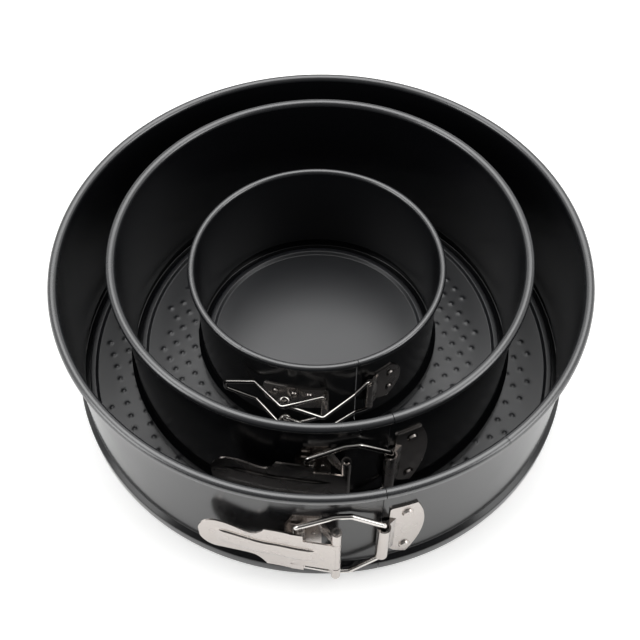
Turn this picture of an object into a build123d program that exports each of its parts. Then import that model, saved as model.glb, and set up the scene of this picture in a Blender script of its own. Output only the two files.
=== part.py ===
from build123d import *
from math import asin, cos, degrees, radians, sin, sqrt, tan
import os

os.makedirs("parts", exist_ok=True)

# Three springform pans that nest. Millimetres, +Z up, latches on the -Y side,
# origin on the ground under the large pan's axis.

# Pan sizes
largeRadius = 115.0          # inside radius of the large wall
mediumStep = 25.0            # how much smaller the medium wall is
smallStep = 34.5             # how much smaller again the small wall is
tallRimHeight = 71.5         # rim centre above the underside, large and medium
lowRimHeight = 56.0          # the same on the small pan
mediumShift = (-0.4, 4.6)    # where the medium pan stands in the large one
smallShift = (-1.9, 6.5)     # where the small pan stands

# Sheet, rim and wires
wallSheet = 0.6
tallRimRadius = 2.1
lowRimRadius = 1.6
rimWireGap = 0.1
latchSheet = 0.8
bracketSheet = 0.6
leverSheet = 0.7
linkWire = 1.15
smallWire = 0.9

# Foot of the wall: a lip under the base and a bead outside it
lipReach = 2.6
beadDepth = 2.4
beadShoulder = 6.2
beadTop = 8.2

# Base plates
baseSheet = 0.6
baseLift = 0.05
baseGap = 0.35               # edge to the flat heads of the rivets inside the wall
ridgeInner = 4.6
ridgeRise = 1.4
bumpRoom = 0.5

# Split and hinge line of each wall
seamAcross = 18.4            # seam's distance right of the lever's pin
smallSeamAcross = 14.0
splitGap = 0.3

# Sheet-metal latch, measured along the wall (x), outward from it and about latchHeight
latchHeight = 31.8
largeTurn = 2.84
mediumTurn = 6.3
plateGap = 0.05
pinRadius = 1.25
pinFit = 0.05
pinOut = 6.7
pinHalf = 21.8
armHalf = 21.3
stripHalf = 12.0
armGap = 0.4
leverReach = 57.5
leverSlope = 12.2
hookLeg = 16.4
hookInner = 1.8
hookSlack = 3.0              # leg centre to the closed end of the hook
hookLift = 0.2
tabHalf = 17.0
legHalf = 18.5
linkMidHalf = 24.3
linkTopOut = 1.55
linkLowOut = 3.95
armStripHalf = 18.0
keeperLeg = 19.3
keeperOut = 3.4
keeperInner = 1.95
keeperHalf = 13.2
keeperLegHalf = 15.0

# Rivets
rivetShank = 1.2
rivetHead = 2.5
rivetRise = 0.9
stakeHead = 1.0
stakeRise = 0.4
insideRise = 0.5             # flat heads inside the wall
insideExtra = 0.8            # how much wider than the shank they are
rivetFit = 0.05

# Wire latch of the small pan
smallLatchHeight = 30.5
smallTurn = 3.3
handleOut = 4.4
handleHalf = 8.2
handleRoll = 0.35
rollSheet = 0.6
eyeLeg = 17.6
eyeOut = 5.9
eyeRadius = 2.4
eyeDrop = 0.6
smallKeeperLeg = 20.2
smallKeeperOut = 2.7
smallKeeperHalf = 9.4


def place(builder, label, where):
    finished = builder.part.moved(where)
    finished.label = label
    export_step(finished, f"parts/{label}.step")


def radialPlane(angle):
    """Sketch plane through the pan's axis: x outward, y up."""
    a = radians(angle)
    return Plane(origin=(0, 0, 0), x_dir=(cos(a), sin(a), 0), z_dir=(sin(a), -cos(a), 0))


def onWall(x, radius):
    """Point on a circle about the pan's axis, at x along the front."""
    return (x, -sqrt(radius * radius - x * x))


def studPlane(pan, x, z, radius):
    """Plane on a rivet's line, facing outward; the line is set where it meets the wall."""
    a = asin(x / (pan["inner"] + wallSheet))
    out = Vector(sin(a), -cos(a), 0)
    return Plane(origin=out * radius + Vector(0, 0, z), z_dir=out)


def bentPath(points, bend):
    """Straight runs joined by arcs; an arc is shortened where its runs are short."""
    at = Vector(*points[0])
    for before, corner, after in zip(points, points[1:], points[2:]):
        b, c, a = Vector(*before), Vector(*corner), Vector(*after)
        into, out = (b - c).normalized(), (a - c).normalized()
        half = radians(into.get_angle(out)) / 2
        setback = min(bend / tan(half), 0.45 * (b - c).length, 0.45 * (a - c).length)
        reach = setback * tan(half)
        middle = c + (into + out).normalized() * (reach / sin(half) - reach)
        Line(at, c + into * setback)
        ThreePointArc(c + into * setback, middle, c + out * setback)
        at = c + out * setback
    Line(at, Vector(*points[-1]))


def bentWire(points, bend, radius, eyes=()):
    """Round wire along a bent path, with a ring at each eye."""
    with BuildPart() as wire:
        with BuildLine() as path:
            bentPath(points, bend)
        with BuildSketch(Plane(origin=path.line @ 0, z_dir=path.line % 0)):
            Circle(radius)
        sweep(path=path.line)
        for eye in eyes:
            with Locations(eye):
                Torus(eyeRadius, radius)
    return wire


def wallProfile(inner, rimHeight, rimRadius):
    """Lip, bead, wall and rolled rim of one pan, drawn outward and up."""
    outer = inner + wallSheet
    with BuildLine() as outline:
        Polyline(
            (inner - lipReach, 0),
            (outer + beadDepth, 0),
            (outer + beadDepth, beadShoulder),
            (outer, beadTop),
            (outer, rimHeight - 0.5),
            (inner, rimHeight - 0.5),
            (inner, beadTop - 0.1),
            (inner + beadDepth, beadShoulder - 0.1),
            (inner + beadDepth, wallSheet),
            (inner - lipReach, wallSheet),
            close=True,
        )
    make_face(outline.edges())
    with Locations((inner + rimRadius, rimHeight)):
        Circle(rimRadius)
        Circle(rimRadius - wallSheet, mode=Mode.SUBTRACT)
    with Locations((inner + rimRadius - 0.7, rimHeight - rimRadius + 0.3)):
        Rectangle(0.6, 0.9, mode=Mode.SUBTRACT)


def buildWall(pan, side):
    """One half of the wall; side is 'left' or 'right' of the latch seam."""
    inner, height, rim = pan["inner"], pan["rimHeight"], pan["rimRadius"]
    half = degrees(splitGap / 2 / inner)
    back = 90 - pan["turn"]
    seam = degrees(asin(pan["seam"] / inner)) - 90
    if side == "left":
        start, sweepAngle = back + half, 360 + seam - back - 2 * half
        studs = pan["leftStuds"]
    else:
        start, sweepAngle = seam + half, back - seam - 2 * half
        studs = pan["rightStuds"]
    with BuildPart() as wall:
        with BuildSketch(radialPlane(start)):
            wallProfile(inner, height, rim)
        revolve(axis=Axis.Z, revolution_arc=sweepAngle)
        for x, z, shank in studs:
            with Locations(studPlane(pan, x, z, inner)):
                Cylinder(shank + rivetFit, 8, mode=Mode.SUBTRACT)
    place(wall, f"{pan['name']}_band_{side}", pan["latch"])

    with BuildPart() as core:
        with BuildSketch(radialPlane(start)):
            with Locations((inner + rim, height)):
                Circle(rim - wallSheet - rimWireGap)
        revolve(axis=Axis.Z, revolution_arc=sweepAngle)
    place(core, f"{pan['name']}_rim_wire_{side}", pan["latch"])


def buildBase(pan):
    """Flat floor, and round it the pressed ridge and the edge that rests on the lip."""
    inner = pan["inner"]
    low = wallSheet + baseLift
    top = low + baseSheet
    flat = inner - ridgeInner - 0.3
    edge = inner - insideRise - baseGap
    with BuildPart() as base:
        with BuildSketch(Plane.XY.offset(low)):
            Circle(flat)
        extrude(amount=baseSheet)
    place(base, f"{pan['name']}_base", pan["where"])

    with BuildPart() as ridge:
        with BuildSketch(Plane.XZ):
            with BuildLine():
                Polyline(
                    (flat, low),
                    (inner - ridgeInner, low),
                    (inner - ridgeInner + 1.2, low + ridgeRise),
                    (inner - lipReach + 0.6, low + ridgeRise),
                    (inner - lipReach + 0.9, low),
                    (edge, low),
                    (edge, top),
                    (inner - lipReach + 1.5, top),
                    (inner - lipReach + 1.2, top + ridgeRise),
                    (inner - ridgeInner + 0.9, top + ridgeRise),
                    (flat, top),
                    close=True,
                )
            make_face()
        revolve(axis=Axis.Z)
    place(ridge, f"{pan['name']}_base_ridge", pan["where"])


def buildRivets(pan, label, studs, stand, head, rise):
    """Headed rivets through the wall, one solid each, with a flat head inside."""
    outer = pan["inner"] + wallSheet
    with BuildPart() as rivets:
        for x, z, shank in studs:
            seat = outer + stand + 0.02 + head * head / (2 * outer)
            inside = outer - wallSheet - 0.03
            with BuildSketch(studPlane(pan, x, z, seat)):
                Circle(head)
            extrude(amount=rise, taper=25)
            with BuildSketch(studPlane(pan, x, z, inside - 0.2)):
                Circle(shank)
            extrude(amount=seat - inside + 0.3)
            flatHead = shank + insideExtra
            back = inside - insideRise - flatHead ** 2 / (2 * outer)
            with BuildSketch(studPlane(pan, x, z, back)):
                Circle(flatHead)
            extrude(amount=insideRise)
    place(rivets, label, pan["latch"])


def buildBracket(pan):
    """Plate on the left half with two arms rolled round the lever's pin."""
    outer = pan["inner"] + wallSheet + plateGap
    mid = pan["latchHeight"]
    pin = (0, -(outer + pinOut))
    rollInner = pinRadius + pinFit
    rollOuter = rollInner + latchSheet
    foot = onWall(-7.0, outer)
    toe = onWall(-5.0, outer + 0.15)
    with BuildPart() as bracket:
        with BuildSketch(Plane.XZ):
            with BuildLine():
                Polyline(
                    (-5.6, mid + armHalf), (-6.6, mid + 23.5), (-16.8, mid + 23.5),
                    (-20.4, mid + 14.0), (-20.4, mid - 14.0), (-16.8, mid - 22.0),
                    (-6.6, mid - 22.0), (-5.6, mid - armHalf), close=True,
                )
            make_face()
        extrude(amount=2 * outer)
        with BuildSketch(Plane.XY.offset(mid - 30)):
            Circle(outer + bracketSheet)
            Circle(outer, mode=Mode.SUBTRACT)
        extrude(amount=60, mode=Mode.INTERSECT)
        for low in (mid - armStripHalf, mid + stripHalf + armGap):
            with BuildSketch(Plane.XY.offset(low)):
                with BuildLine():
                    Polyline(
                        (foot[0], foot[1] - 0.02), (foot[0], foot[1] - bracketSheet),
                        (-rollOuter, pin[1] - 0.1), (-rollInner - 0.05, pin[1]),
                        toe, close=True,
                    )
                make_face()
            extrude(amount=armStripHalf - stripHalf - armGap)
        for low in (mid - armHalf, mid + stripHalf + armGap):
            with BuildSketch(Plane.XY.offset(low)):
                with Locations(pin):
                    Circle(rollOuter)
                    Circle(rollInner, mode=Mode.SUBTRACT)
            extrude(amount=armHalf - stripHalf - armGap)
        for x, z, shank in pan["leftStuds"]:
            with Locations(studPlane(pan, x, z, outer)):
                Cylinder(shank + rivetFit, 8, mode=Mode.SUBTRACT)
    place(bracket, f"{pan['name']}_lever_bracket", pan["latch"])

    with BuildPart() as pinPiece:
        with BuildSketch(Plane.XY.offset(mid - pinHalf)):
            with Locations(pin):
                Circle(pinRadius)
        extrude(amount=2 * pinHalf)
    place(pinPiece, f"{pan['name']}_lever_pin", pan["latch"])


def leverOutline():
    """Grip, neck and shoulders of the lever, seen from outside, tip to the left."""
    end = -leverReach
    with BuildLine() as outline:
        Polyline((0, stripHalf), (-11.6, stripHalf), (-11.6, tabHalf), (-27.0, tabHalf))
        Spline((-27.0, tabHalf), (-29.5, 12.2), (-33.5, 9.8),
               (-40.0, 10.6), (end + 8.0, 12.6), tangents=((-0.5, -1), (-1, 0)))
        ThreePointArc((end + 8.0, 12.6), (end, 0), (end + 8.0, -12.6))
        Spline((end + 8.0, -12.6), (-40.0, -10.6), (-33.5, -9.8),
               (-29.5, -12.2), (-27.0, -tabHalf), tangents=((1, 0), (0.5, -1)))
        Polyline((-27.0, -tabHalf), (-11.6, -tabHalf), (-11.6, -stripHalf), (0, -stripHalf),
                 (0, stripHalf))
    make_face(outline.edges())


def buildLever(pan):
    """Stamped lever, built with its pin on the Z axis and then laid on the latch."""
    outer = pan["inner"] + wallSheet + plateGap
    mid = pan["latchHeight"]
    rollInner = pinRadius + pinFit
    rollOuter = rollInner + leverSheet
    hookMiddle = hookInner + leverSheet
    with BuildPart() as lever:
        with BuildSketch(Plane.XZ.offset(rollInner)):
            leverOutline()
        extrude(amount=leverSheet)
        # the roll round the pin
        with BuildSketch(Plane.XY.offset(-stripHalf)):
            Circle(rollOuter)
            Circle(rollInner, mode=Mode.SUBTRACT)
            with Locations((-rollOuter, 0.1)):
                Rectangle(rollOuter, 1.4, mode=Mode.SUBTRACT)
        extrude(amount=2 * stripHalf)
        # two hooks, open toward the grip, behind the tabs
        for low in (-tabHalf, stripHalf + 0.3):
            with BuildSketch(Plane.XY.offset(low)):
                with Locations((hookInner + hookSlack - 2 * hookInner - hookLeg,
                                hookInner - rollInner)):
                    Circle(hookMiddle)
                    Circle(hookInner, mode=Mode.SUBTRACT)
                    with Locations((-4, 0)):
                        Rectangle(8, 2 * hookMiddle, mode=Mode.SUBTRACT)
                    with Locations((-1.9, hookInner + leverSheet / 2)):
                        Rectangle(3.8, leverSheet)
            extrude(amount=tabHalf - stripHalf - 0.3)
        # long pressed channel down the middle
        with BuildSketch(Plane.XZ.offset(rollInner + leverSheet)):
            with Locations((-24.5, 0)):
                SlotOverall(44, 8.0)
                SlotOverall(42.4, 6.4, mode=Mode.SUBTRACT)
        extrude(amount=0.35)
    tilt = Location((0, -(outer + pinOut), mid), (0, 0, -leverSlope))
    place(lever, f"{pan['name']}_lever", pan["latch"] * tilt)


def buildLink(pan):
    """Bent wire that ties the lever's hooks to the keeper's roll."""
    outer = pan["inner"] + wallSheet + plateGap
    mid = pan["latchHeight"]
    hook = hookPoint(outer)
    keeper = keeperPoint(outer)
    high, low = -(outer + linkTopOut), -(outer + linkLowOut)
    left, right = 0.0, 6.0
    points = [
        (*keeper, mid + 0.3),
        (*keeper, mid + keeperLegHalf),
        (right, high, mid + linkMidHalf),
        (left, high, mid + linkMidHalf),
        (*hook, mid + legHalf),
        (*hook, mid - legHalf),
        (left, low, mid - linkMidHalf),
        (right, low, mid - linkMidHalf),
        (*keeper, mid - keeperLegHalf),
        (*keeper, mid - 0.3),
    ]
    link = bentWire(points, 2.2, linkWire)
    place(link, f"{pan['name']}_wire_link", pan["latch"])


def hookPoint(outer):
    """The link's left leg, in the latch frame."""
    a = radians(-leverSlope)
    x, y = -hookLeg, hookInner + hookLift - (pinRadius + pinFit)
    return (x * cos(a) - y * sin(a), -(outer + pinOut) + x * sin(a) + y * cos(a))


def keeperPoint(outer):
    """The link's right leg, in the latch frame."""
    return onWall(keeperLeg, outer + keeperOut)


def buildHingePlate(pan):
    """D-shaped plate on the right half, its straight edge rolled round the link."""
    outer = pan["inner"] + wallSheet + plateGap
    mid = pan["latchHeight"]
    keeper = keeperPoint(outer)
    rollOuter = keeperInner + latchSheet
    with BuildPart() as plate:
        with BuildSketch(Plane.XZ):
            with BuildLine():
                Polyline((30.5, mid - 22.8), (25.0, mid - 18.5), (21.6, mid - keeperHalf),
                         (21.6, mid + 22.0), (22.4, mid + 22.8), (32.6, mid + 22.8))
                ThreePointArc((32.6, mid + 22.8), (36.7, mid + 3.0), (30.5, mid - 22.8))
            make_face()
        extrude(amount=2 * outer)
        with BuildSketch(Plane.XY.offset(mid - 30)):
            Circle(outer + latchSheet)
            Circle(outer, mode=Mode.SUBTRACT)
        extrude(amount=60, mode=Mode.INTERSECT)
        with BuildSketch(Plane.XY.offset(mid - keeperHalf)):
            with BuildLine():
                Polyline(
                    onWall(24.4, outer + 0.02), onWall(24.4, outer + latchSheet),
                    (keeper[0] + rollOuter - 0.5, keeper[1] + 1.2),
                    (keeper[0] + 0.8, keeper[1] + rollOuter - 0.15),
                    onWall(21.4, outer + 0.35), onWall(22.8, outer + 0.1), close=True,
                )
            make_face()
            with Locations(keeper):
                Circle(rollOuter)
                Circle(keeperInner, mode=Mode.SUBTRACT)
        extrude(amount=2 * keeperHalf)
        for x, z, shank in pan["rightStuds"]:
            with Locations(studPlane(pan, x, z, outer)):
                Cylinder(shank + rivetFit, 8, mode=Mode.SUBTRACT)
    place(plate, f"{pan['name']}_hinge_plate", pan["latch"])


def buildSmallLatch(pan):
    outer = pan["inner"] + wallSheet + plateGap
    mid = pan["latchHeight"]
    rollInner = smallWire + handleRoll
    rollOuter = rollInner + rollSheet
    pivot = (0, -(outer + handleOut))
    eye = (-eyeLeg, -(outer + eyeOut))
    keeper = onWall(smallKeeperLeg, outer + smallKeeperOut)

    with BuildPart() as bracket:
        with BuildSketch(Plane.XZ):
            with BuildLine():
                Polyline((-1.6, mid + 7.0), (-16.0, mid + 8.2), (-26.0, mid + 6.4),
                         (-27.5, mid), (-26.0, mid - 6.4), (-16.0, mid - 8.2),
                         (-1.6, mid - 7.0), close=True)
            make_face()
        extrude(amount=2 * outer)
        with BuildSketch(Plane.XY.offset(mid - 20)):
            Circle(outer + rollSheet)
            Circle(outer, mode=Mode.SUBTRACT)
        extrude(amount=40, mode=Mode.INTERSECT)
        foot = onWall(-2.2, outer)
        with BuildSketch(Plane.XY.offset(mid - 7.0)):
            with BuildLine():
                Polyline((foot[0], foot[1] - 0.02), (foot[0], foot[1] - rollSheet),
                         (rollInner + 0.02, foot[1] - rollSheet - 1.0),
                         (rollInner + 0.02, pivot[1]), (rollOuter, pivot[1]),
                         (rollOuter, foot[1] - 1.0), (0.4, foot[1] - 0.15), close=True)
            make_face()
            with Locations(pivot):
                Circle(rollOuter)
                Circle(rollInner, mode=Mode.SUBTRACT)
        extrude(amount=14.0)
        for x, z, shank in pan["leftStuds"]:
            with Locations(studPlane(pan, x, z, outer)):
                Cylinder(shank + rivetFit, 8, mode=Mode.SUBTRACT)
    place(bracket, f"{pan['name']}_handle_bracket", pan["latch"])

    # bent wire handle with an eye at each end of the link
    shoulder = onWall(-30.2, outer + 2.4)
    grip = onWall(-43.7, outer + 7.6)
    back = (eye[0] - 1.4, eye[1] - eyeRadius - 0.2)
    points = [
        (*pivot, mid + 0.3), (*pivot, mid + handleHalf), (*back, mid + handleHalf),
        (*shoulder, mid + 7.0), (*grip, mid + 2.2),
        (*grip, mid - 2.2), (*shoulder, mid - 7.0),
        (*back, mid - handleHalf), (*pivot, mid - handleHalf), (*pivot, mid - 0.3),
    ]
    coil = handleHalf - eyeDrop
    eyes = [(*eye, mid + coil), (*eye, mid - coil)]
    handle = bentWire(points, 1.7, smallWire, eyes)
    place(handle, f"{pan['name']}_wire_handle", pan["latch"])

    # bowed link from the keeper to the two eyes
    run = coil - 2 * smallWire - 0.4
    elbow = onWall(13.3, outer + 4.9)
    apex = (-1.2, -(outer + 13.4))
    points = [
        (*eye, mid + handleHalf + 2.4), (*eye, mid + run), (*apex, mid + run),
        (*elbow, mid + 7.4), (*keeper, mid + smallKeeperHalf + 2.2),
        (*keeper, mid - smallKeeperHalf - 2.2), (*elbow, mid - 7.4),
        (*apex, mid - run), (*eye, mid - run), (*eye, mid - handleHalf - 2.4),
    ]
    link = bentWire(points, 1.5, smallWire)
    place(link, f"{pan['name']}_wire_link", pan["latch"])

    keeperRoll = smallWire + handleRoll
    with BuildPart() as plate:
        with BuildSketch(Plane.XZ):
            with BuildLine():
                Polyline((29.0, mid - 12.0), (23.0, mid - smallKeeperHalf),
                         (23.0, mid + 11.0), (30.0, mid + 12.5))
                ThreePointArc((30.0, mid + 12.5), (35.0, mid), (29.0, mid - 12.0))
            make_face()
        extrude(amount=2 * outer)
        with BuildSketch(Plane.XY.offset(mid - 20)):
            Circle(outer + rollSheet)
            Circle(outer, mode=Mode.SUBTRACT)
        extrude(amount=40, mode=Mode.INTERSECT)
        with BuildSketch(Plane.XY.offset(mid - smallKeeperHalf)):
            with BuildLine():
                Polyline(onWall(24.2, outer + 0.02), onWall(24.2, outer + rollSheet),
                         (keeper[0] + rollInner + 0.3, keeper[1] + 0.6),
                         (keeper[0] + 0.9, keeper[1] + keeperRoll + 0.3),
                         onWall(22.2, outer + 0.2), close=True)
            make_face()
            with Locations(keeper):
                Circle(keeperRoll + rollSheet)
                Circle(keeperRoll, mode=Mode.SUBTRACT)
        extrude(amount=2 * smallKeeperHalf)
        for x, z, shank in pan["rightStuds"]:
            with Locations(studPlane(pan, x, z, outer)):
                Cylinder(shank + rivetFit, 8, mode=Mode.SUBTRACT)
    place(plate, f"{pan['name']}_hinge_plate", pan["latch"])


def panSpec(name, inner, rimHeight, rimRadius, shift, level, turn, height, seam):
    floor = wallSheet + baseLift + baseSheet + bumpRoom
    where = Location((shift[0], shift[1], level * floor))
    return {
        "name": name, "inner": inner, "rimHeight": rimHeight, "rimRadius": rimRadius,
        "where": where, "turn": turn, "latch": where * Location((0, 0, 0), (0, 0, turn)),
        "latchHeight": height, "seam": seam,
    }


mediumRadius = largeRadius - mediumStep
smallRadius = mediumRadius - smallStep
pans = [
    panSpec("large", largeRadius, tallRimHeight, tallRimRadius, (0, 0), 0,
            largeTurn, latchHeight, seamAcross),
    panSpec("medium", mediumRadius, tallRimHeight, tallRimRadius, mediumShift, 1,
            mediumTurn, latchHeight, seamAcross),
    panSpec("small", smallRadius, lowRimHeight, lowRimRadius, smallShift, 2,
            smallTurn, smallLatchHeight, smallSeamAcross),
]

for pan in pans:
    mid = pan["latchHeight"]
    if pan["name"] == "small":
        pan["leftStuds"] = [(-21.0, mid + 2.6, 0.8), (-13.0, mid + 3.0, 0.8), (-6.5, mid + 3.0, 0.8)]
        pan["rightStuds"] = [(29.6, mid + 5.5, 1.0), (29.6, mid - 5.5, 1.0)]
    else:
        pan["leftStuds"] = [(x, mid + z, 0.5) for x in (-9.0, -14.5) for z in (-7.0, 7.0)]
        pan["rightStuds"] = [(28.7, mid + 16.2, rivetShank), (29.2, mid - 14.8, rivetShank)]
    buildWall(pan, "left")
    buildWall(pan, "right")
    buildBase(pan)
    if pan["name"] == "small":
        buildSmallLatch(pan)
        buildRivets(pan, "small_bracket_rivets", pan["leftStuds"], plateGap + rollSheet, 1.7, 0.7)
        buildRivets(pan, "small_hinge_plate_rivets", pan["rightStuds"], plateGap + rollSheet,
                    2.0, 0.7)
    else:
        buildBracket(pan)
        buildLever(pan)
        buildLink(pan)
        buildHingePlate(pan)
        buildRivets(pan, f"{pan['name']}_bracket_rivets", pan["leftStuds"],
                    plateGap + bracketSheet, stakeHead, stakeRise)
        buildRivets(pan, f"{pan['name']}_hinge_plate_rivets", pan["rightStuds"],
                    plateGap + latchSheet, rivetHead, rivetRise)
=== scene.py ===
from math import asin, cos, degrees, pi, radians, sin, sqrt

import bmesh
import bpy
from mathutils import Matrix, Vector


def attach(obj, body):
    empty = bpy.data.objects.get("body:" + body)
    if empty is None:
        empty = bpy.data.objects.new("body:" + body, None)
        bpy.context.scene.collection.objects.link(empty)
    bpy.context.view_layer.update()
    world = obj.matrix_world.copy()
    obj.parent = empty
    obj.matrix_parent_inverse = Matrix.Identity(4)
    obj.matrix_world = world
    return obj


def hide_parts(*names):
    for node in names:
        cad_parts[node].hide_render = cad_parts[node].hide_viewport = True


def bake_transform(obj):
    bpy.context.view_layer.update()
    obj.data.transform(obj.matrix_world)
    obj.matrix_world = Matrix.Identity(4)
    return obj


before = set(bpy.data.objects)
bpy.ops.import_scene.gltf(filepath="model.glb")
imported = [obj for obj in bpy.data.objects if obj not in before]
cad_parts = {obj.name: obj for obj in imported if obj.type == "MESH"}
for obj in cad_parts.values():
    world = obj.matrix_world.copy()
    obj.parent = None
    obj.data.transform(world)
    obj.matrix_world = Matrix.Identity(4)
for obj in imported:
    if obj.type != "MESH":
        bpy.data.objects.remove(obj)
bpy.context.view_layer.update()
print("frame loaded")

mm = 0.001

# what a user would change on the pans; every size in millimetres
panSizes = {
    "large": {"inner": 115.0, "rimHeight": 71.5, "rimRadius": 2.1, "centre": (0.0, 0.0),
              "lift": 0.0, "turn": 2.84, "seam": 18.4, "crimps": (-52.0,)},
    "medium": {"inner": 90.0, "rimHeight": 71.5, "rimRadius": 2.1, "centre": (-0.4, 4.6),
               "lift": 1.75, "turn": 6.3, "seam": 18.4, "crimps": ()},
    "small": {"inner": 55.5, "rimHeight": 56.0, "rimRadius": 1.6, "centre": (-1.9, 6.5),
              "lift": 3.5, "turn": 3.3, "seam": 14.0, "crimps": (-124.0,)},
}


def linearColour(text):
    parts = [int(text[i:i + 2], 16) / 255 for i in (1, 3, 5)]
    return [p / 12.92 if p <= 0.04045 else ((p + 0.055) / 1.055) ** 2.4 for p in parts] + [1.0]


def addNode(tree, kind, settings=None, links=None):
    node = tree.nodes.new(kind)
    for key, value in (settings or {}).items():
        if hasattr(node, key) and not key[0].isupper():
            setattr(node, key, value)
        else:
            node.inputs[key].default_value = value
    for key, source in (links or {}).items():
        tree.links.new(source, node.inputs[key])
    return node


def newMaterial(name):
    material = bpy.data.materials.new(name)
    material.use_nodes = True
    tree = material.node_tree
    tree.nodes.clear()
    return material, tree


# PTFE-type coating sprayed on rolled steel: near black, satin, with a very fine orange peel
def sprayedNonStickCoating(name, colour, roughness, ior, grain=0.5):
    # grain is the width of one dimple of the peel, in millimetres; the clouds are about 36
    material, tree = newMaterial(name)
    place = addNode(tree, "ShaderNodeTexCoord")
    peel = addNode(tree, "ShaderNodeTexNoise",
                   {"Scale": 1 / (grain * mm), "Detail": 3.0, "Roughness": 0.6},
                   {"Vector": place.outputs["Object"]})
    cloud = addNode(tree, "ShaderNodeTexNoise", {"Scale": 28.0, "Detail": 4.0},
                    {"Vector": place.outputs["Object"]})
    rough = addNode(tree, "ShaderNodeMapRange",
                    {"To Min": roughness - 0.05, "To Max": roughness + 0.07},
                    {"Value": cloud.outputs["Fac"]})
    tone = addNode(tree, "ShaderNodeMix", {"data_type": "RGBA"},
                   {"Factor": peel.outputs["Fac"]})
    tone.inputs[6].default_value = linearColour(colour[0])
    tone.inputs[7].default_value = linearColour(colour[1])
    bump = addNode(tree, "ShaderNodeBump", {"Strength": 0.10, "Distance": 0.00006},
                   {"Height": peel.outputs["Fac"]})
    shader = addNode(tree, "ShaderNodeBsdfPrincipled", {"IOR": ior},
                     {"Base Color": tone.outputs[2], "Roughness": rough.outputs["Result"],
                      "Normal": bump.outputs["Normal"]})
    addNode(tree, "ShaderNodeOutputMaterial", None, {"Surface": shader.outputs["BSDF"]})
    return material


# bright nickel on pressed steel: mirror-like with faint drawing lines and handling marks
def brightNickelPlate(name, colour, roughness, line=0.35):
    # line is the spacing of the drawing lines, in millimetres; the marks are about 9
    material, tree = newMaterial(name)
    place = addNode(tree, "ShaderNodeTexCoord")
    stretch = addNode(tree, "ShaderNodeMapping", {"Scale": (0.12, 0.12, 1.0)},
                      {"Vector": place.outputs["Object"]})
    lines = addNode(tree, "ShaderNodeTexNoise", {"Scale": 1 / (line * mm), "Detail": 5.0},
                    {"Vector": stretch.outputs["Vector"]})
    marks = addNode(tree, "ShaderNodeTexNoise", {"Scale": 110.0, "Detail": 1.0},
                    {"Vector": place.outputs["Object"]})
    rough = addNode(tree, "ShaderNodeMapRange",
                    {"From Min": 0.35, "From Max": 0.7, "To Min": roughness - 0.05,
                     "To Max": roughness + 0.12},
                    {"Value": marks.outputs["Fac"]})
    wave = addNode(tree, "ShaderNodeBump", {"Strength": 0.08, "Distance": 0.0003},
                   {"Height": marks.outputs["Fac"]})
    bump = addNode(tree, "ShaderNodeBump", {"Strength": 0.04, "Distance": 0.00004},
                   {"Height": lines.outputs["Fac"], "Normal": wave.outputs["Normal"]})
    shader = addNode(tree, "ShaderNodeBsdfPrincipled",
                     {"Base Color": linearColour(colour), "Metallic": 1.0},
                     {"Roughness": rough.outputs["Result"], "Normal": bump.outputs["Normal"]})
    addNode(tree, "ShaderNodeOutputMaterial", None, {"Surface": shader.outputs["BSDF"]})
    return material


wallCoating = sprayedNonStickCoating("wallNonStickCoating", ("#0b0b0d", "#111214"), 0.19, 1.48)
# the same coating on the rolled rim, shinier, with a paler colour painted in as its highlight so
# that the roll stands out from the wall
rimPaintedHighlightCoating = sprayedNonStickCoating("rolledRimCoatingWithPaintedHighlight", ("#1c1d1f", "#232426"), 0.26, 1.95)
baseCoating = sprayedNonStickCoating("baseNonStickCoating", ("#1a1b1e", "#242529"), 0.38, 1.7, 0.6)
latchNickel = brightNickelPlate("brightNickelOnPressedSteel", "#bcb5b0", 0.2)
wireNickel = brightNickelPlate("brightNickelOnDrawnWire", "#c9c5c1", 0.12, 0.25)
plainSteel = brightNickelPlate("plainRimWireSteel", "#8f8f90", 0.35)


def meshPiece(name, verts, faces, material, sharpFrom=40):
    # smooth but for the edges that turn by more than sharpFrom degrees
    mesh = bpy.data.meshes.new(name)
    mesh.from_pydata(verts, [], faces)
    mesh.update()
    piece = bpy.data.objects.new(name, mesh)
    bpy.context.collection.objects.link(piece)
    mesh.materials.append(material)
    work = bmesh.new()
    work.from_mesh(mesh)
    bmesh.ops.recalc_face_normals(work, faces=work.faces)
    for face in work.faces:
        face.smooth = True
    for edge in work.edges:
        if len(edge.link_faces) == 2 and edge.calc_face_angle() > radians(sharpFrom):
            edge.smooth = False
    work.to_mesh(mesh)
    work.free()
    return piece


def roundCorners(points, radius, count=4, nearlyStraight=88, most=0.45):
    # fillets each inner corner of an open run of (outward, up) points; a fillet takes at most
    # the given share of the sides beside it
    out = [points[0]]
    for before, corner, after in zip(points, points[1:], points[2:]):
        b, c, a = Vector(before), Vector(corner), Vector(after)
        into, away = (b - c), (a - c)
        half = into.angle(away) / 2
        if half > radians(nearlyStraight):
            out.append(corner)
            continue
        setback = min(radius / (sin(half) / cos(half)), into.length * most, away.length * most)
        first, last = c + into.normalized() * setback, c + away.normalized() * setback
        for i in range(count + 1):
            t = i / count
            out.append(tuple((1 - t) ** 2 * first + 2 * t * (1 - t) * c + t * t * last))
    out.append(points[-1])
    return out


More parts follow.
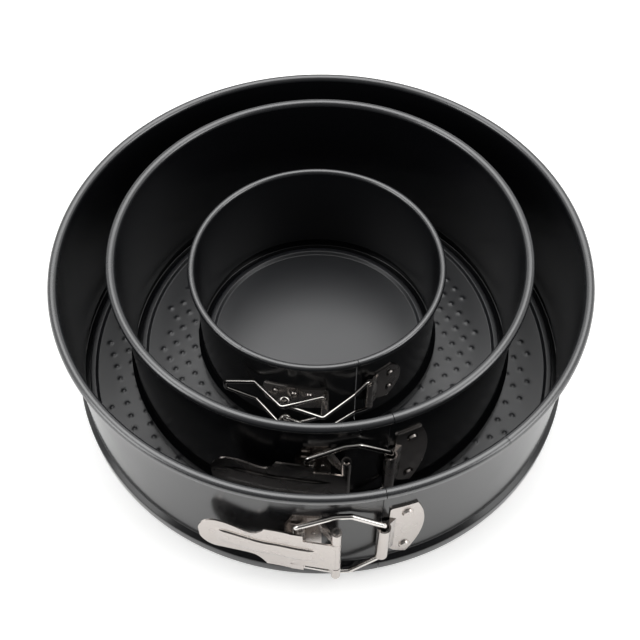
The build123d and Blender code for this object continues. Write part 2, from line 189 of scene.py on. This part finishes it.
def turned(profile, centre, lift, angles, name, material, shape=None):
    # sweeps a closed profile round an upright axis; open at both ends unless a full turn
    full = abs(abs(angles[-1] - angles[0]) - 360) < 1e-6
    used = angles[:-1] if full else angles
    verts, faces = [], []
    count = len(profile)
    for angle in used:
        a = radians(angle)
        for point in (shape(profile, angle) if shape else profile):
            verts.append(((centre[0] + point[0] * cos(a)) * mm,
                          (centre[1] + point[0] * sin(a)) * mm,
                          (lift + point[1]) * mm))
    rings = len(used)
    for ring in range(rings if full else rings - 1):
        here, there = ring * count, ((ring + 1) % rings) * count
        for i in range(count):
            j = (i + 1) % count
            faces.append((here + i, there + i, there + j, here + j))
    if not full:
        faces.append(tuple(range(count)))
        faces.append(tuple(reversed(range((rings - 1) * count, rings * count))))
    return meshPiece(name, verts, faces, material)


# one wall: lip, bead and rolled rim; the nick is where the ends of the roll meet
wallSizes = {
    "sheet": 0.6, "lipReach": 2.6, "beadDepth": 2.4, "beadShoulder": 6.2, "beadTop": 8.2,
    "insideDrop": 0.1, "outerFillet": 0.9, "innerFillet": 0.7, "belowRim": 6.0,
    "curlTurn": 310.0, "curlSteps": 26, "seamGap": 0.3, "turnStep": 1.0, "backArc": 30.0,
    "nickHalf": 0.15, "nickScale": 0.86, "nickSkin": 0.25, "nickBelow": 0.05, "nickBehind": 0.4,
    "nickSteps": (-0.35, -0.2, -0.1, 0.1, 0.2, 0.35),
}


def wallProfile(size):
    w, inner = wallSizes, size["inner"]
    outer, height, rim = inner + w["sheet"], size["rimHeight"], size["rimRadius"]
    outside = roundCorners([
        (inner - w["lipReach"], 0.0), (outer + w["beadDepth"], 0.0),
        (outer + w["beadDepth"], w["beadShoulder"]), (outer, w["beadTop"]),
        (outer, height - w["belowRim"])], w["outerFillet"])
    inside = roundCorners([
        (inner, height - w["belowRim"]), (inner, w["beadTop"] - w["insideDrop"]),
        (inner + w["beadDepth"], w["beadShoulder"] - w["insideDrop"]),
        (inner + w["beadDepth"], w["sheet"]),
        (inner - w["lipReach"], w["sheet"])], w["innerFillet"])
    # the roll goes out along the sheet's inner face and comes back along its outer one
    curl = []
    turn = [180 - i * w["curlTurn"] / w["curlSteps"] for i in range(w["curlSteps"] + 1)]
    for radius, angles in ((rim - w["sheet"], turn), (rim, turn[::-1])):
        for angle in angles:
            a = radians(angle)
            curl.append((inner + rim + radius * cos(a), height + radius * sin(a)))
    return outside + curl + inside


def angleSteps(start, end, step, extra=()):
    count = max(2, int(round(abs(end - start) / step)))
    steps = {round(start + (end - start) * i / count, 4) for i in range(count + 1)}
    for value in extra:
        if start < value < end:
            steps |= {round(value + d, 4) for d in wallSizes["nickSteps"]}
    return sorted(steps)


def buildWall(pan):
    w, size = wallSizes, panSizes[pan]
    profile = wallProfile(size)
    inner, height, rim = size["inner"], size["rimHeight"], size["rimRadius"]
    half = degrees(w["seamGap"] / 2 / inner)
    seam = degrees(asin(size["seam"] / inner)) - 90 + size["turn"]
    arc, step = w["backArc"], w["turnStep"]
    nicks = [c + turn for turn in (360, 0) for c in size["crimps"]]

    def nicked(points, angle):
        # the roll draws in a little just at each nick
        if min((abs(angle - c) for c in nicks), default=360) > w["nickHalf"]:
            return points
        out = []
        for x, z in points:
            dx, dz = x - inner - rim, z - height
            onSkin = dx * dx + dz * dz > (rim - w["nickSkin"]) ** 2
            if onSkin and dz > -rim - w["nickBelow"] and dx > w["nickBehind"] - rim:
                x, z = inner + rim + dx * w["nickScale"], height + dz * w["nickScale"]
            out.append((x, z))
        return out

    left, right, back = [
        turned(profile, size["centre"], size["lift"], angleSteps(start, end, step, nicks),
               f"{pan}Wall{side}", wallCoating, nicked)
        for side, start, end in (("Left", 90 + arc, 360 + seam - half),
                                 ("Right", seam + half, 90 - arc),
                                 ("Back", 90 - arc, 90 + arc))]
    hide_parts(f"{pan}_band_left")
    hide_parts(f"{pan}_band_right")
    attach(left, f"{pan}_ring")
    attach(right, f"{pan}_ring_end")
    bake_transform(back)
    for piece in (left, right, back):
        piece.data.materials.append(rimPaintedHighlightCoating)
        for polygon in piece.data.polygons:
            if polygon.center.z > (size["lift"] + height - rim) * mm:
                polygon.material_index = 1  # the roll, in the copy of the coating painted paler as its highlight


# one base; each Foot is a step out from the ridge's inner foot, each Brow one from the lip's edge
baseSizes = {
    "low": 0.65, "sheet": 0.6, "gap": 0.85, "ridgeInner": 4.6, "ridgeRise": 1.4, "fillet": 0.55,
    "upperFoot": (-0.3, 0.9), "upperBrow": (1.2, 1.5), "lowerFoot": (0.0, 1.2),
    "lowerBrow": (0.6, 0.9), "flatEdge": 12.0, "pole": 0.02, "mergeWithin": 0.08, "turnStep": 1.5,
}


def buildBase(pan):
    size, b = panSizes[pan], baseSizes
    inner = size["inner"]
    low, top = b["low"], b["low"] + b["sheet"]
    foot, brow = inner - b["ridgeInner"], inner - wallSizes["lipReach"]
    edge = inner - b["gap"]
    upper = roundCorners([
        (0.0, top), (foot + b["upperFoot"][0], top),
        (foot + b["upperFoot"][1], top + b["ridgeRise"]),
        (brow + b["upperBrow"][0], top + b["ridgeRise"]),
        (brow + b["upperBrow"][1], top), (edge, top)], b["fillet"])
    lower = roundCorners([
        (edge, low), (brow + b["lowerBrow"][1], low),
        (brow + b["lowerBrow"][0], low + b["ridgeRise"]),
        (foot + b["lowerFoot"][1], low + b["ridgeRise"]),
        (foot + b["lowerFoot"][0], low), (0.0, low)], b["fillet"])
    # a denser run across the flat, so that the satin sheen turns smoothly
    flatEnd = inner - b["flatEdge"]
    flat = [(r, top) for r in (4.0, 20.0, inner * 0.45, inner * 0.7, flatEnd)]
    profile = ([(b["pole"], top)] + flat + upper[1:] + lower[:-1]
               + [(flatEnd, low), (b["pole"], low)])
    base = turned(profile, size["centre"], size["lift"], angleSteps(0, 360, b["turnStep"]),
                  f"{pan}BasePlate", baseCoating)
    # the tiny hole at each pole closes when its points are merged
    work = bmesh.new()
    work.from_mesh(base.data)
    bmesh.ops.remove_doubles(work, verts=work.verts, dist=b["mergeWithin"] * mm)
    work.to_mesh(base.data)
    work.free()
    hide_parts(f"{pan}_base", f"{pan}_base_ridge")
    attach(base, f"{pan}_base")


# the raised dots: where each field lies, and the shape of one dot as shares of its radius
dotSizes = {
    "large": {"field": 104.5, "pitch": 7.45, "turn": 19.25, "radius": 2.5, "height": 0.42,
              "shift": (-1.47, -0.44)},
    "medium": {"field": 79.0, "pitch": 6.95, "turn": 30.25, "radius": 2.5, "height": 0.42,
               "shift": (0.0, -1.5)},
}
dotShape = {"around": 14, "spans": (0.15, 0.3, 0.45, 0.6, 0.76, 0.9, 1.0), "coreEnd": 0.6,
            "skirtEnd": 0.92, "coreShare": 0.76, "dip": -0.03, "clear": 0.004}


def domeMesh(name, radius, height):
    # soft-edged dot whose rim dips just under the plate, so that its closed underside never shows
    d = dotShape
    around, spans, share = d["around"], d["spans"], d["coreShare"]
    verts, faces = [(0, 0, height)], []
    for t in spans:
        core = max(0.0, 1 - (t / d["coreEnd"]) ** 2) ** 2
        skirt = (1 - (t / d["skirtEnd"]) ** 2) ** 2
        z = height * (share * core + (1 - share) * skirt) if t < d["skirtEnd"] else d["dip"]
        for k in range(around):
            a = 2 * pi * k / around
            verts.append((radius * t * cos(a), radius * t * sin(a), z))
    for k in range(around):
        faces.append((0, 1 + k, 1 + (k + 1) % around))
    for s in range(len(spans) - 1):
        for k in range(around):
            i, j = 1 + s * around, 1 + (s + 1) * around
            faces.append((i + k, j + k, j + (k + 1) % around, i + (k + 1) % around))
    last = 1 + (len(spans) - 1) * around
    faces.append(tuple(last + k for k in reversed(range(around))))
    mesh = bpy.data.meshes.new(name)
    mesh.from_pydata([tuple(c * mm for c in v) for v in verts], [], faces)
    for polygon in mesh.polygons:
        polygon.use_smooth = len(polygon.vertices) < 5
    return mesh


def dotTree():
    tree = bpy.data.node_groups.new("pressedDots", "GeometryNodeTree")
    face = tree.interface
    face.new_socket("Geometry", in_out="OUTPUT", socket_type="NodeSocketGeometry")
    for name, kind in (("Dot", "NodeSocketObject"), ("Field radius", "NodeSocketFloat"),
                       ("Pitch", "NodeSocketFloat"), ("Turn", "NodeSocketFloat"),
                       ("Centre", "NodeSocketVector"), ("Finish", "NodeSocketMaterial")):
        face.new_socket(name, in_out="INPUT", socket_type=kind)
    given = addNode(tree, "NodeGroupInput")
    across = addNode(tree, "ShaderNodeMath", {"operation": "MULTIPLY"},
                     {0: given.outputs["Field radius"]})
    across.inputs[1].default_value = 2.4  # wider than the field, so that it stays full when turned
    cells = addNode(tree, "ShaderNodeMath", {"operation": "DIVIDE"},
                    {0: across.outputs[0], 1: given.outputs["Pitch"]})
    even = addNode(tree, "ShaderNodeMath", {"operation": "SNAP"}, {0: cells.outputs[0]})
    even.inputs[1].default_value = 2.0  # an even number of cells puts a dot at the centre
    side = addNode(tree, "ShaderNodeMath", {"operation": "MULTIPLY"},
                   {0: even.outputs[0], 1: given.outputs["Pitch"]})
    count = addNode(tree, "ShaderNodeMath", {"operation": "ADD"}, {0: even.outputs[0]})
    count.inputs[1].default_value = 1.0
    grid = addNode(tree, "GeometryNodeMeshGrid", None,
                   {"Size X": side.outputs[0], "Size Y": side.outputs[0],
                    "Vertices X": count.outputs[0], "Vertices Y": count.outputs[0]})
    place = addNode(tree, "GeometryNodeInputPosition")
    length = addNode(tree, "ShaderNodeVectorMath", {"operation": "LENGTH"}, {0: place.outputs[0]})
    outside = addNode(tree, "FunctionNodeCompare", {"operation": "GREATER_THAN"},
                      {"A": length.outputs["Value"], "B": given.outputs["Field radius"]})
    kept = addNode(tree, "GeometryNodeDeleteGeometry", {"domain": "POINT"},
                   {"Geometry": grid.outputs["Mesh"], "Selection": outside.outputs[0]})
    turn = addNode(tree, "ShaderNodeCombineXYZ", None, {"Z": given.outputs["Turn"]})
    moved = addNode(tree, "GeometryNodeTransform", None,
                    {"Geometry": kept.outputs[0], "Rotation": turn.outputs[0],
                     "Translation": given.outputs["Centre"]})
    dot = addNode(tree, "GeometryNodeObjectInfo", None, {"Object": given.outputs["Dot"]})
    spread = addNode(tree, "GeometryNodeInstanceOnPoints", None,
                     {"Points": moved.outputs[0], "Instance": dot.outputs["Geometry"]})
    real = addNode(tree, "GeometryNodeRealizeInstances", None, {"Geometry": spread.outputs[0]})
    finish = addNode(tree, "GeometryNodeSetMaterial", None,
                     {"Geometry": real.outputs[0], "Material": given.outputs["Finish"]})
    addNode(tree, "NodeGroupOutput", None, {0: finish.outputs[0]})
    return tree


def runTree(tree, name, values):
    # evaluates a tree on an empty mesh and returns the result as a plain object
    holder = bpy.data.objects.new(name + "Source", bpy.data.meshes.new(name + "Source"))
    bpy.context.collection.objects.link(holder)
    modifier = holder.modifiers.new("nodes", "NODES")
    modifier.node_group = tree
    for item in tree.interface.items_tree:
        if item.item_type == "SOCKET" and item.in_out == "INPUT" and item.name in values:
            modifier[item.identifier] = values[item.name]
    bpy.context.view_layer.update()
    result = bpy.data.meshes.new_from_object(holder.evaluated_get(
        bpy.context.evaluated_depsgraph_get()))
    holder.modifiers.clear()
    bpy.data.objects.remove(holder)
    piece = bpy.data.objects.new(name, result)
    bpy.context.collection.objects.link(piece)
    return piece


# pressed sheet lever, in its own frame: x from the pin to the tip, y outward is minus, z along
# the pin; neck has (x, half height) points, and each bow is (depth, where it starts, its length)
leverSizes = {
    "sheet": 0.7, "roll": 1.3, "stripHalf": 12.0,
    "tabStart": -13.2, "tabEnd": -29.0, "tabHalf": 17.0, "tip": -57.5,
    "neck": ((-29.0, 16.2), (-30.0, 14.2), (-31.2, 12.4), (-32.8, 10.9), (-34.5, 10.2),
             (-37.0, 10.3), (-41.0, 11.4), (-45.5, 12.4), (-49.5, 12.6)),
    "channelFrom": -6.0, "channelTo": -51.0, "channelHalf": 4.8, "channelDeep": 0.8,
    "channelEnds": 5.0, "crease": 0.9, "footFrom": 2.4, "foot": 3.4,
    "firstBow": (0.5, -14.0, 12.0), "tipBow": (2.6, -27.0, 24.0),
    "hookInner": 1.8, "hookX": -15.2, "hookGap": 0.3,
    "wallOut": 0.65, "pinOut": 6.7, "slope": -12.2, "height": {"large": 31.8, "medium": 33.55},
    "edge": 0.16, "edgeFrom": 50,
}
# how finely the sheet is divided: along it, round its tip, and in the bands across it
leverSteps = {"along": 0.9, "tip": 0.35, "tipFrom": -54.0, "tipCount": 10, "tipLeft": 0.15,
              "bands": (8, 20, 12, 8), "lowEdge": 2.8, "highEdge": 0.9, "creaseBand": 1.8}


def smoothStep(t):
    t = min(max(t, 0.0), 1.0)
    return t * t * (3 - 2 * t)


def leverHalf(x):
    # half height of the lever's outline at x: strip, tabs, neck, then the round lobe
    spec = leverSizes
    if x > spec["tabStart"]:
        return spec["stripHalf"]
    if x > spec["tabEnd"]:
        return spec["tabHalf"]
    lobeStart, lobeHalf = spec["neck"][-1]
    if x >= lobeStart:
        for (x0, h0), (x1, h1) in zip(spec["neck"], spec["neck"][1:]):
            if x1 <= x <= x0:
                t = (x0 - x) / (x0 - x1)
                return h0 + (h1 - h0) * t
    t = (lobeStart - x) / (lobeStart - spec["tip"])
    return lobeHalf * sqrt(max(0.0, 1 - min(t, 1.0) ** 2))


def leverFace(x, z):
    # how far the sheet stands out from its flat line: a channel with one crisp and one soft side
    spec = leverSizes
    ends = (smoothStep((x - spec["channelTo"]) / spec["channelEnds"])
            * smoothStep((spec["channelFrom"] - x) / spec["channelEnds"]))
    crease = smoothStep((spec["channelHalf"] + spec["crease"] / 2 - z) / spec["crease"])
    foot = smoothStep((z + spec["channelHalf"] + spec["footFrom"]) / spec["foot"])
    bow = sum(-depth * smoothStep((start - x) / length)
              for depth, start, length in (spec["firstBow"], spec["tipBow"]))
    return spec["channelDeep"] * crease * foot * ends + bow


def leverPlate():
    spec, fine = leverSizes, leverSteps
    runs = int((-2.0 - spec["tip"]) / fine["along"])
    stations = sorted({0.0, -0.5, -1.5, spec["tabStart"] + 0.01, spec["tabStart"],
                       spec["tabEnd"] + 0.01}
                      | {-2.0 - fine["along"] * i for i in range(runs)}
                      | {fine["tipFrom"] - fine["tip"] * i for i in range(fine["tipCount"])},
                      reverse=True)
    stations = [x for x in stations if x > spec["tip"] + fine["tipLeft"]]
    across = sum(fine["bands"])
    verts, faces = [], []
    for x in stations:
        half = leverHalf(x)
        low = max(-half, -spec["channelHalf"] - fine["lowEdge"])
        high = min(half, spec["channelHalf"] + fine["highEdge"])
        # lines of even height near the crease keep it crisp
        ends = [-half, low, high - fine["creaseBand"], high, half]
        lines = [a + (b - a) * i / n
                 for a, b, n in zip(ends, ends[1:], fine["bands"]) for i in range(n)] + [half]
        for back in (spec["sheet"], 0):
            for z in lines:
                verts.append((x, -spec["roll"] - leverFace(x, z) - back, z))
    row = 2 * (across + 1)
    for s in range(len(stations) - 1):
        a, b = s * row, (s + 1) * row
        for i in range(across):
            faces.append((a + i, a + i + 1, b + i + 1, b + i))
            j = across + 1 + i
            faces.append((a + j, b + j, b + j + 1, a + j + 1))
        faces.append((a, b, b + across + 1, a + across + 1))
        faces.append((a + across, a + row - 1, b + row - 1, b + across))
    for s in (0, len(stations) - 1):
        a = s * row
        for i in range(across):
            faces.append((a + i, a + i + 1, a + across + 2 + i, a + across + 1 + i))
    return verts, faces


def bentStrip(path, sheet, low, high):
    # a strip of sheet that follows a run of (x, y) points between two heights
    verts, faces = [], []
    count = len(path)
    for i, point in enumerate(path):
        before, after = Vector(path[max(i - 1, 0)]), Vector(path[min(i + 1, count - 1)])
        along = (after - before).normalized()
        side = Vector((-along.y, along.x)) * sheet / 2
        at = Vector(point)
        for where in (at - side, at + side):
            for z in (low, high):
                verts.append((where.x, where.y, z))
    for i in range(count - 1):
        a, b = 4 * i, 4 * i + 4
        faces += [(a, b, b + 1, a + 1), (a + 2, a + 3, b + 3, b + 2),
                  (a, a + 2, b + 2, b), (a + 1, b + 1, b + 3, a + 3)]
    faces += [(0, 1, 3, 2), (4 * count - 4, 4 * count - 2, 4 * count - 1, 4 * count - 3)]
    return verts, faces


def buildLever(pan):
    spec, size = leverSizes, panSizes[pan]
    sheet = spec["sheet"]
    # the plate, the roll round the pin, and a hook behind each tab
    middle = spec["roll"] + sheet / 2
    roll = [(middle * sin(radians(a)), -middle * cos(radians(a))) for a in range(0, 261, 10)]
    parts = [leverPlate(), bentStrip(roll, sheet, -spec["stripHalf"], spec["stripHalf"])]
    hook = spec["hookInner"] + sheet / 2
    x0, y0 = spec["hookX"], spec["hookInner"] - spec["roll"]
    curl = [(x0 - 3.4, y0 - hook), (x0 - 1.5, y0 - hook)]
    curl += [(x0 + hook * sin(radians(a)), y0 - hook * cos(radians(a)))
             for a in range(0, 181, 10)]
    curl += [(x0 - 1.8, y0 + hook), (x0 - 3.6, y0 + hook)]
    near, far = spec["stripHalf"] + spec["hookGap"], spec["tabHalf"]
    for low, high in ((-far, -near), (near, far)):
        parts.append(bentStrip(curl, sheet, low, high))
    verts, faces = [], []
    for v, f in parts:
        faces += [tuple(i + len(verts) for i in face) for face in f]
        verts += v
    pin = Vector((0, -(size["inner"] + spec["wallOut"] + spec["pinOut"]), 0))
    place = (Matrix.Rotation(radians(size["turn"]), 4, "Z") @ Matrix.Translation(pin)
             @ Matrix.Rotation(radians(spec["slope"]), 4, "Z"))
    shift = Vector((*size["centre"], spec["height"][pan]))
    verts = [tuple(c * mm for c in (place @ Vector(v) + shift)) for v in verts]
    lever = meshPiece(f"{pan}LeverPressing", verts, faces, latchNickel)
    soften = lever.modifiers.new("edges", "BEVEL")
    soften.width, soften.segments, soften.limit_method = spec["edge"] * mm, 2, "ANGLE"
    soften.angle_limit = radians(spec["edgeFrom"])
    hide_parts(f"{pan}_lever")
    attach(lever, f"{pan}_lever")


for pan in panSizes:
    buildWall(pan)
    buildBase(pan)
print("walls and bases done")

for pan in ("large", "medium"):
    buildLever(pan)
print("levers done")

dots = dotTree()
for pan, d in dotSizes.items():
    size = panSizes[pan]
    dot = bpy.data.objects.new(pan + "Dot", domeMesh(pan + "Dot", d["radius"], d["height"]))
    bpy.context.collection.objects.link(dot)
    top = baseSizes["low"] + baseSizes["sheet"] + size["lift"] + dotShape["clear"]
    x, y = (c + shift for c, shift in zip(size["centre"], d["shift"]))
    piece = runTree(dots, f"{pan}BaseDots", {
        "Dot": dot, "Field radius": d["field"] * mm, "Pitch": d["pitch"] * mm,
        "Turn": radians(d["turn"]), "Centre": (x * mm, y * mm, top * mm),
        "Finish": baseCoating})
    bpy.data.objects.remove(dot)
    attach(piece, f"{pan}_base")
print("dots done")

for name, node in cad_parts.items():
    if "band" in name or "_base" in name or name.endswith("_lever"):
        continue
    if "rim_wire" in name:
        finish = plainSteel
    elif "wire" in name or name.endswith("_pin"):
        finish = wireNickel
    else:
        finish = latchNickel
    node.data.materials.clear()
    node.data.materials.append(finish)
print("latch finishes done")

# floor, light and camera
floorSizes = {"half": 3, "below": -0.0002, "glow": 0.35}  # metres, metres, emission
far = floorSizes["half"]
floorMesh = bpy.data.meshes.new("floor")
floorMesh.from_pydata([(-far, -far, 0), (far, -far, 0), (far, far, 0), (-far, far, 0)],
                      [], [(0, 1, 2, 3)])
floor = bpy.data.objects.new("floor", floorMesh)
bpy.context.collection.objects.link(floor)
paper, tree = newMaterial("whitePaperSweep")
shader = addNode(tree, "ShaderNodeBsdfPrincipled",
                 {"Base Color": linearColour("#f6f6f5"), "Roughness": 0.9,
                  "Emission Color": linearColour("#ffffff"),
                  "Emission Strength": floorSizes["glow"]})
addNode(tree, "ShaderNodeOutputMaterial", None, {"Surface": shader.outputs["BSDF"]})
floorMesh.materials.append(paper)
floor.location = (0, 0, floorSizes["below"])

# places and sizes in metres, power in watts
lightSizes = {
    "overhead": {"at": (0.0, 0.32, 1.2), "size": (1.7, 1.15), "power": 15.0, "toward": (0, 0, 0)},
    "left": {"at": (-1.1, -0.4, 0.6), "size": (0.6, 0.8), "power": 5.0, "toward": (0, 0, 0.03)},
    "right": {"at": (1.1, -0.4, 0.6), "size": (0.6, 0.8), "power": 5.0, "toward": (0, 0, 0.03)},
}
for name, light in lightSizes.items():
    data = bpy.data.lights.new(name, "AREA")
    data.shape = "RECTANGLE"
    data.size, data.size_y = light["size"]
    data.energy = light["power"]
    lamp = bpy.data.objects.new(name, data)
    bpy.context.collection.objects.link(lamp)
    lamp.location = light["at"]
    aim = Vector(light["toward"]) - Vector(light["at"])
    lamp.rotation_euler = aim.to_track_quat("-Z", "Y").to_euler()

world = bpy.data.worlds.new("studio")
bpy.context.scene.world = world
world.use_nodes = True
# a pale studio that is darker on the viewer's side, so that bright metal has a dark core
sky = world.node_tree
direction = addNode(sky, "ShaderNodeTexCoord")
split = addNode(sky, "ShaderNodeSeparateXYZ", None, {"Vector": direction.outputs["Generated"]})
depth = addNode(sky, "ShaderNodeMapRange",
                {"From Min": -0.75, "From Max": 0.15, "To Min": 0.08, "To Max": 0.75},
                {"Value": split.outputs["Y"]})
sky.links.new(depth.outputs["Result"], sky.nodes["Background"].inputs["Strength"])
sky.nodes["Background"].inputs["Color"].default_value = linearColour("#ffffff")
bpy.context.scene.view_settings.view_transform = "Standard"

# the viewing angle: distance in metres, height angle in degrees, lens and sensor in millimetres
viewSizes = {"distance": 0.4975, "height": 55.68, "lens": 56.0, "sensor": 36,
             "shift": (-0.0016, 0.0453)}
up = radians(viewSizes["height"])
cameraData = bpy.data.cameras.new("camera")
camera = bpy.data.objects.new("camera", cameraData)
bpy.context.collection.objects.link(camera)
camera.location = (0, -viewSizes["distance"] * cos(up), viewSizes["distance"] * sin(up))
camera.rotation_euler = (radians(90) - up, 0, 0)
cameraData.lens = viewSizes["lens"]
cameraData.sensor_width = viewSizes["sensor"]
cameraData.shift_x, cameraData.shift_y = viewSizes["shift"]
cameraData.clip_start = 0.01
bpy.context.scene.camera = camera

print("scene done")
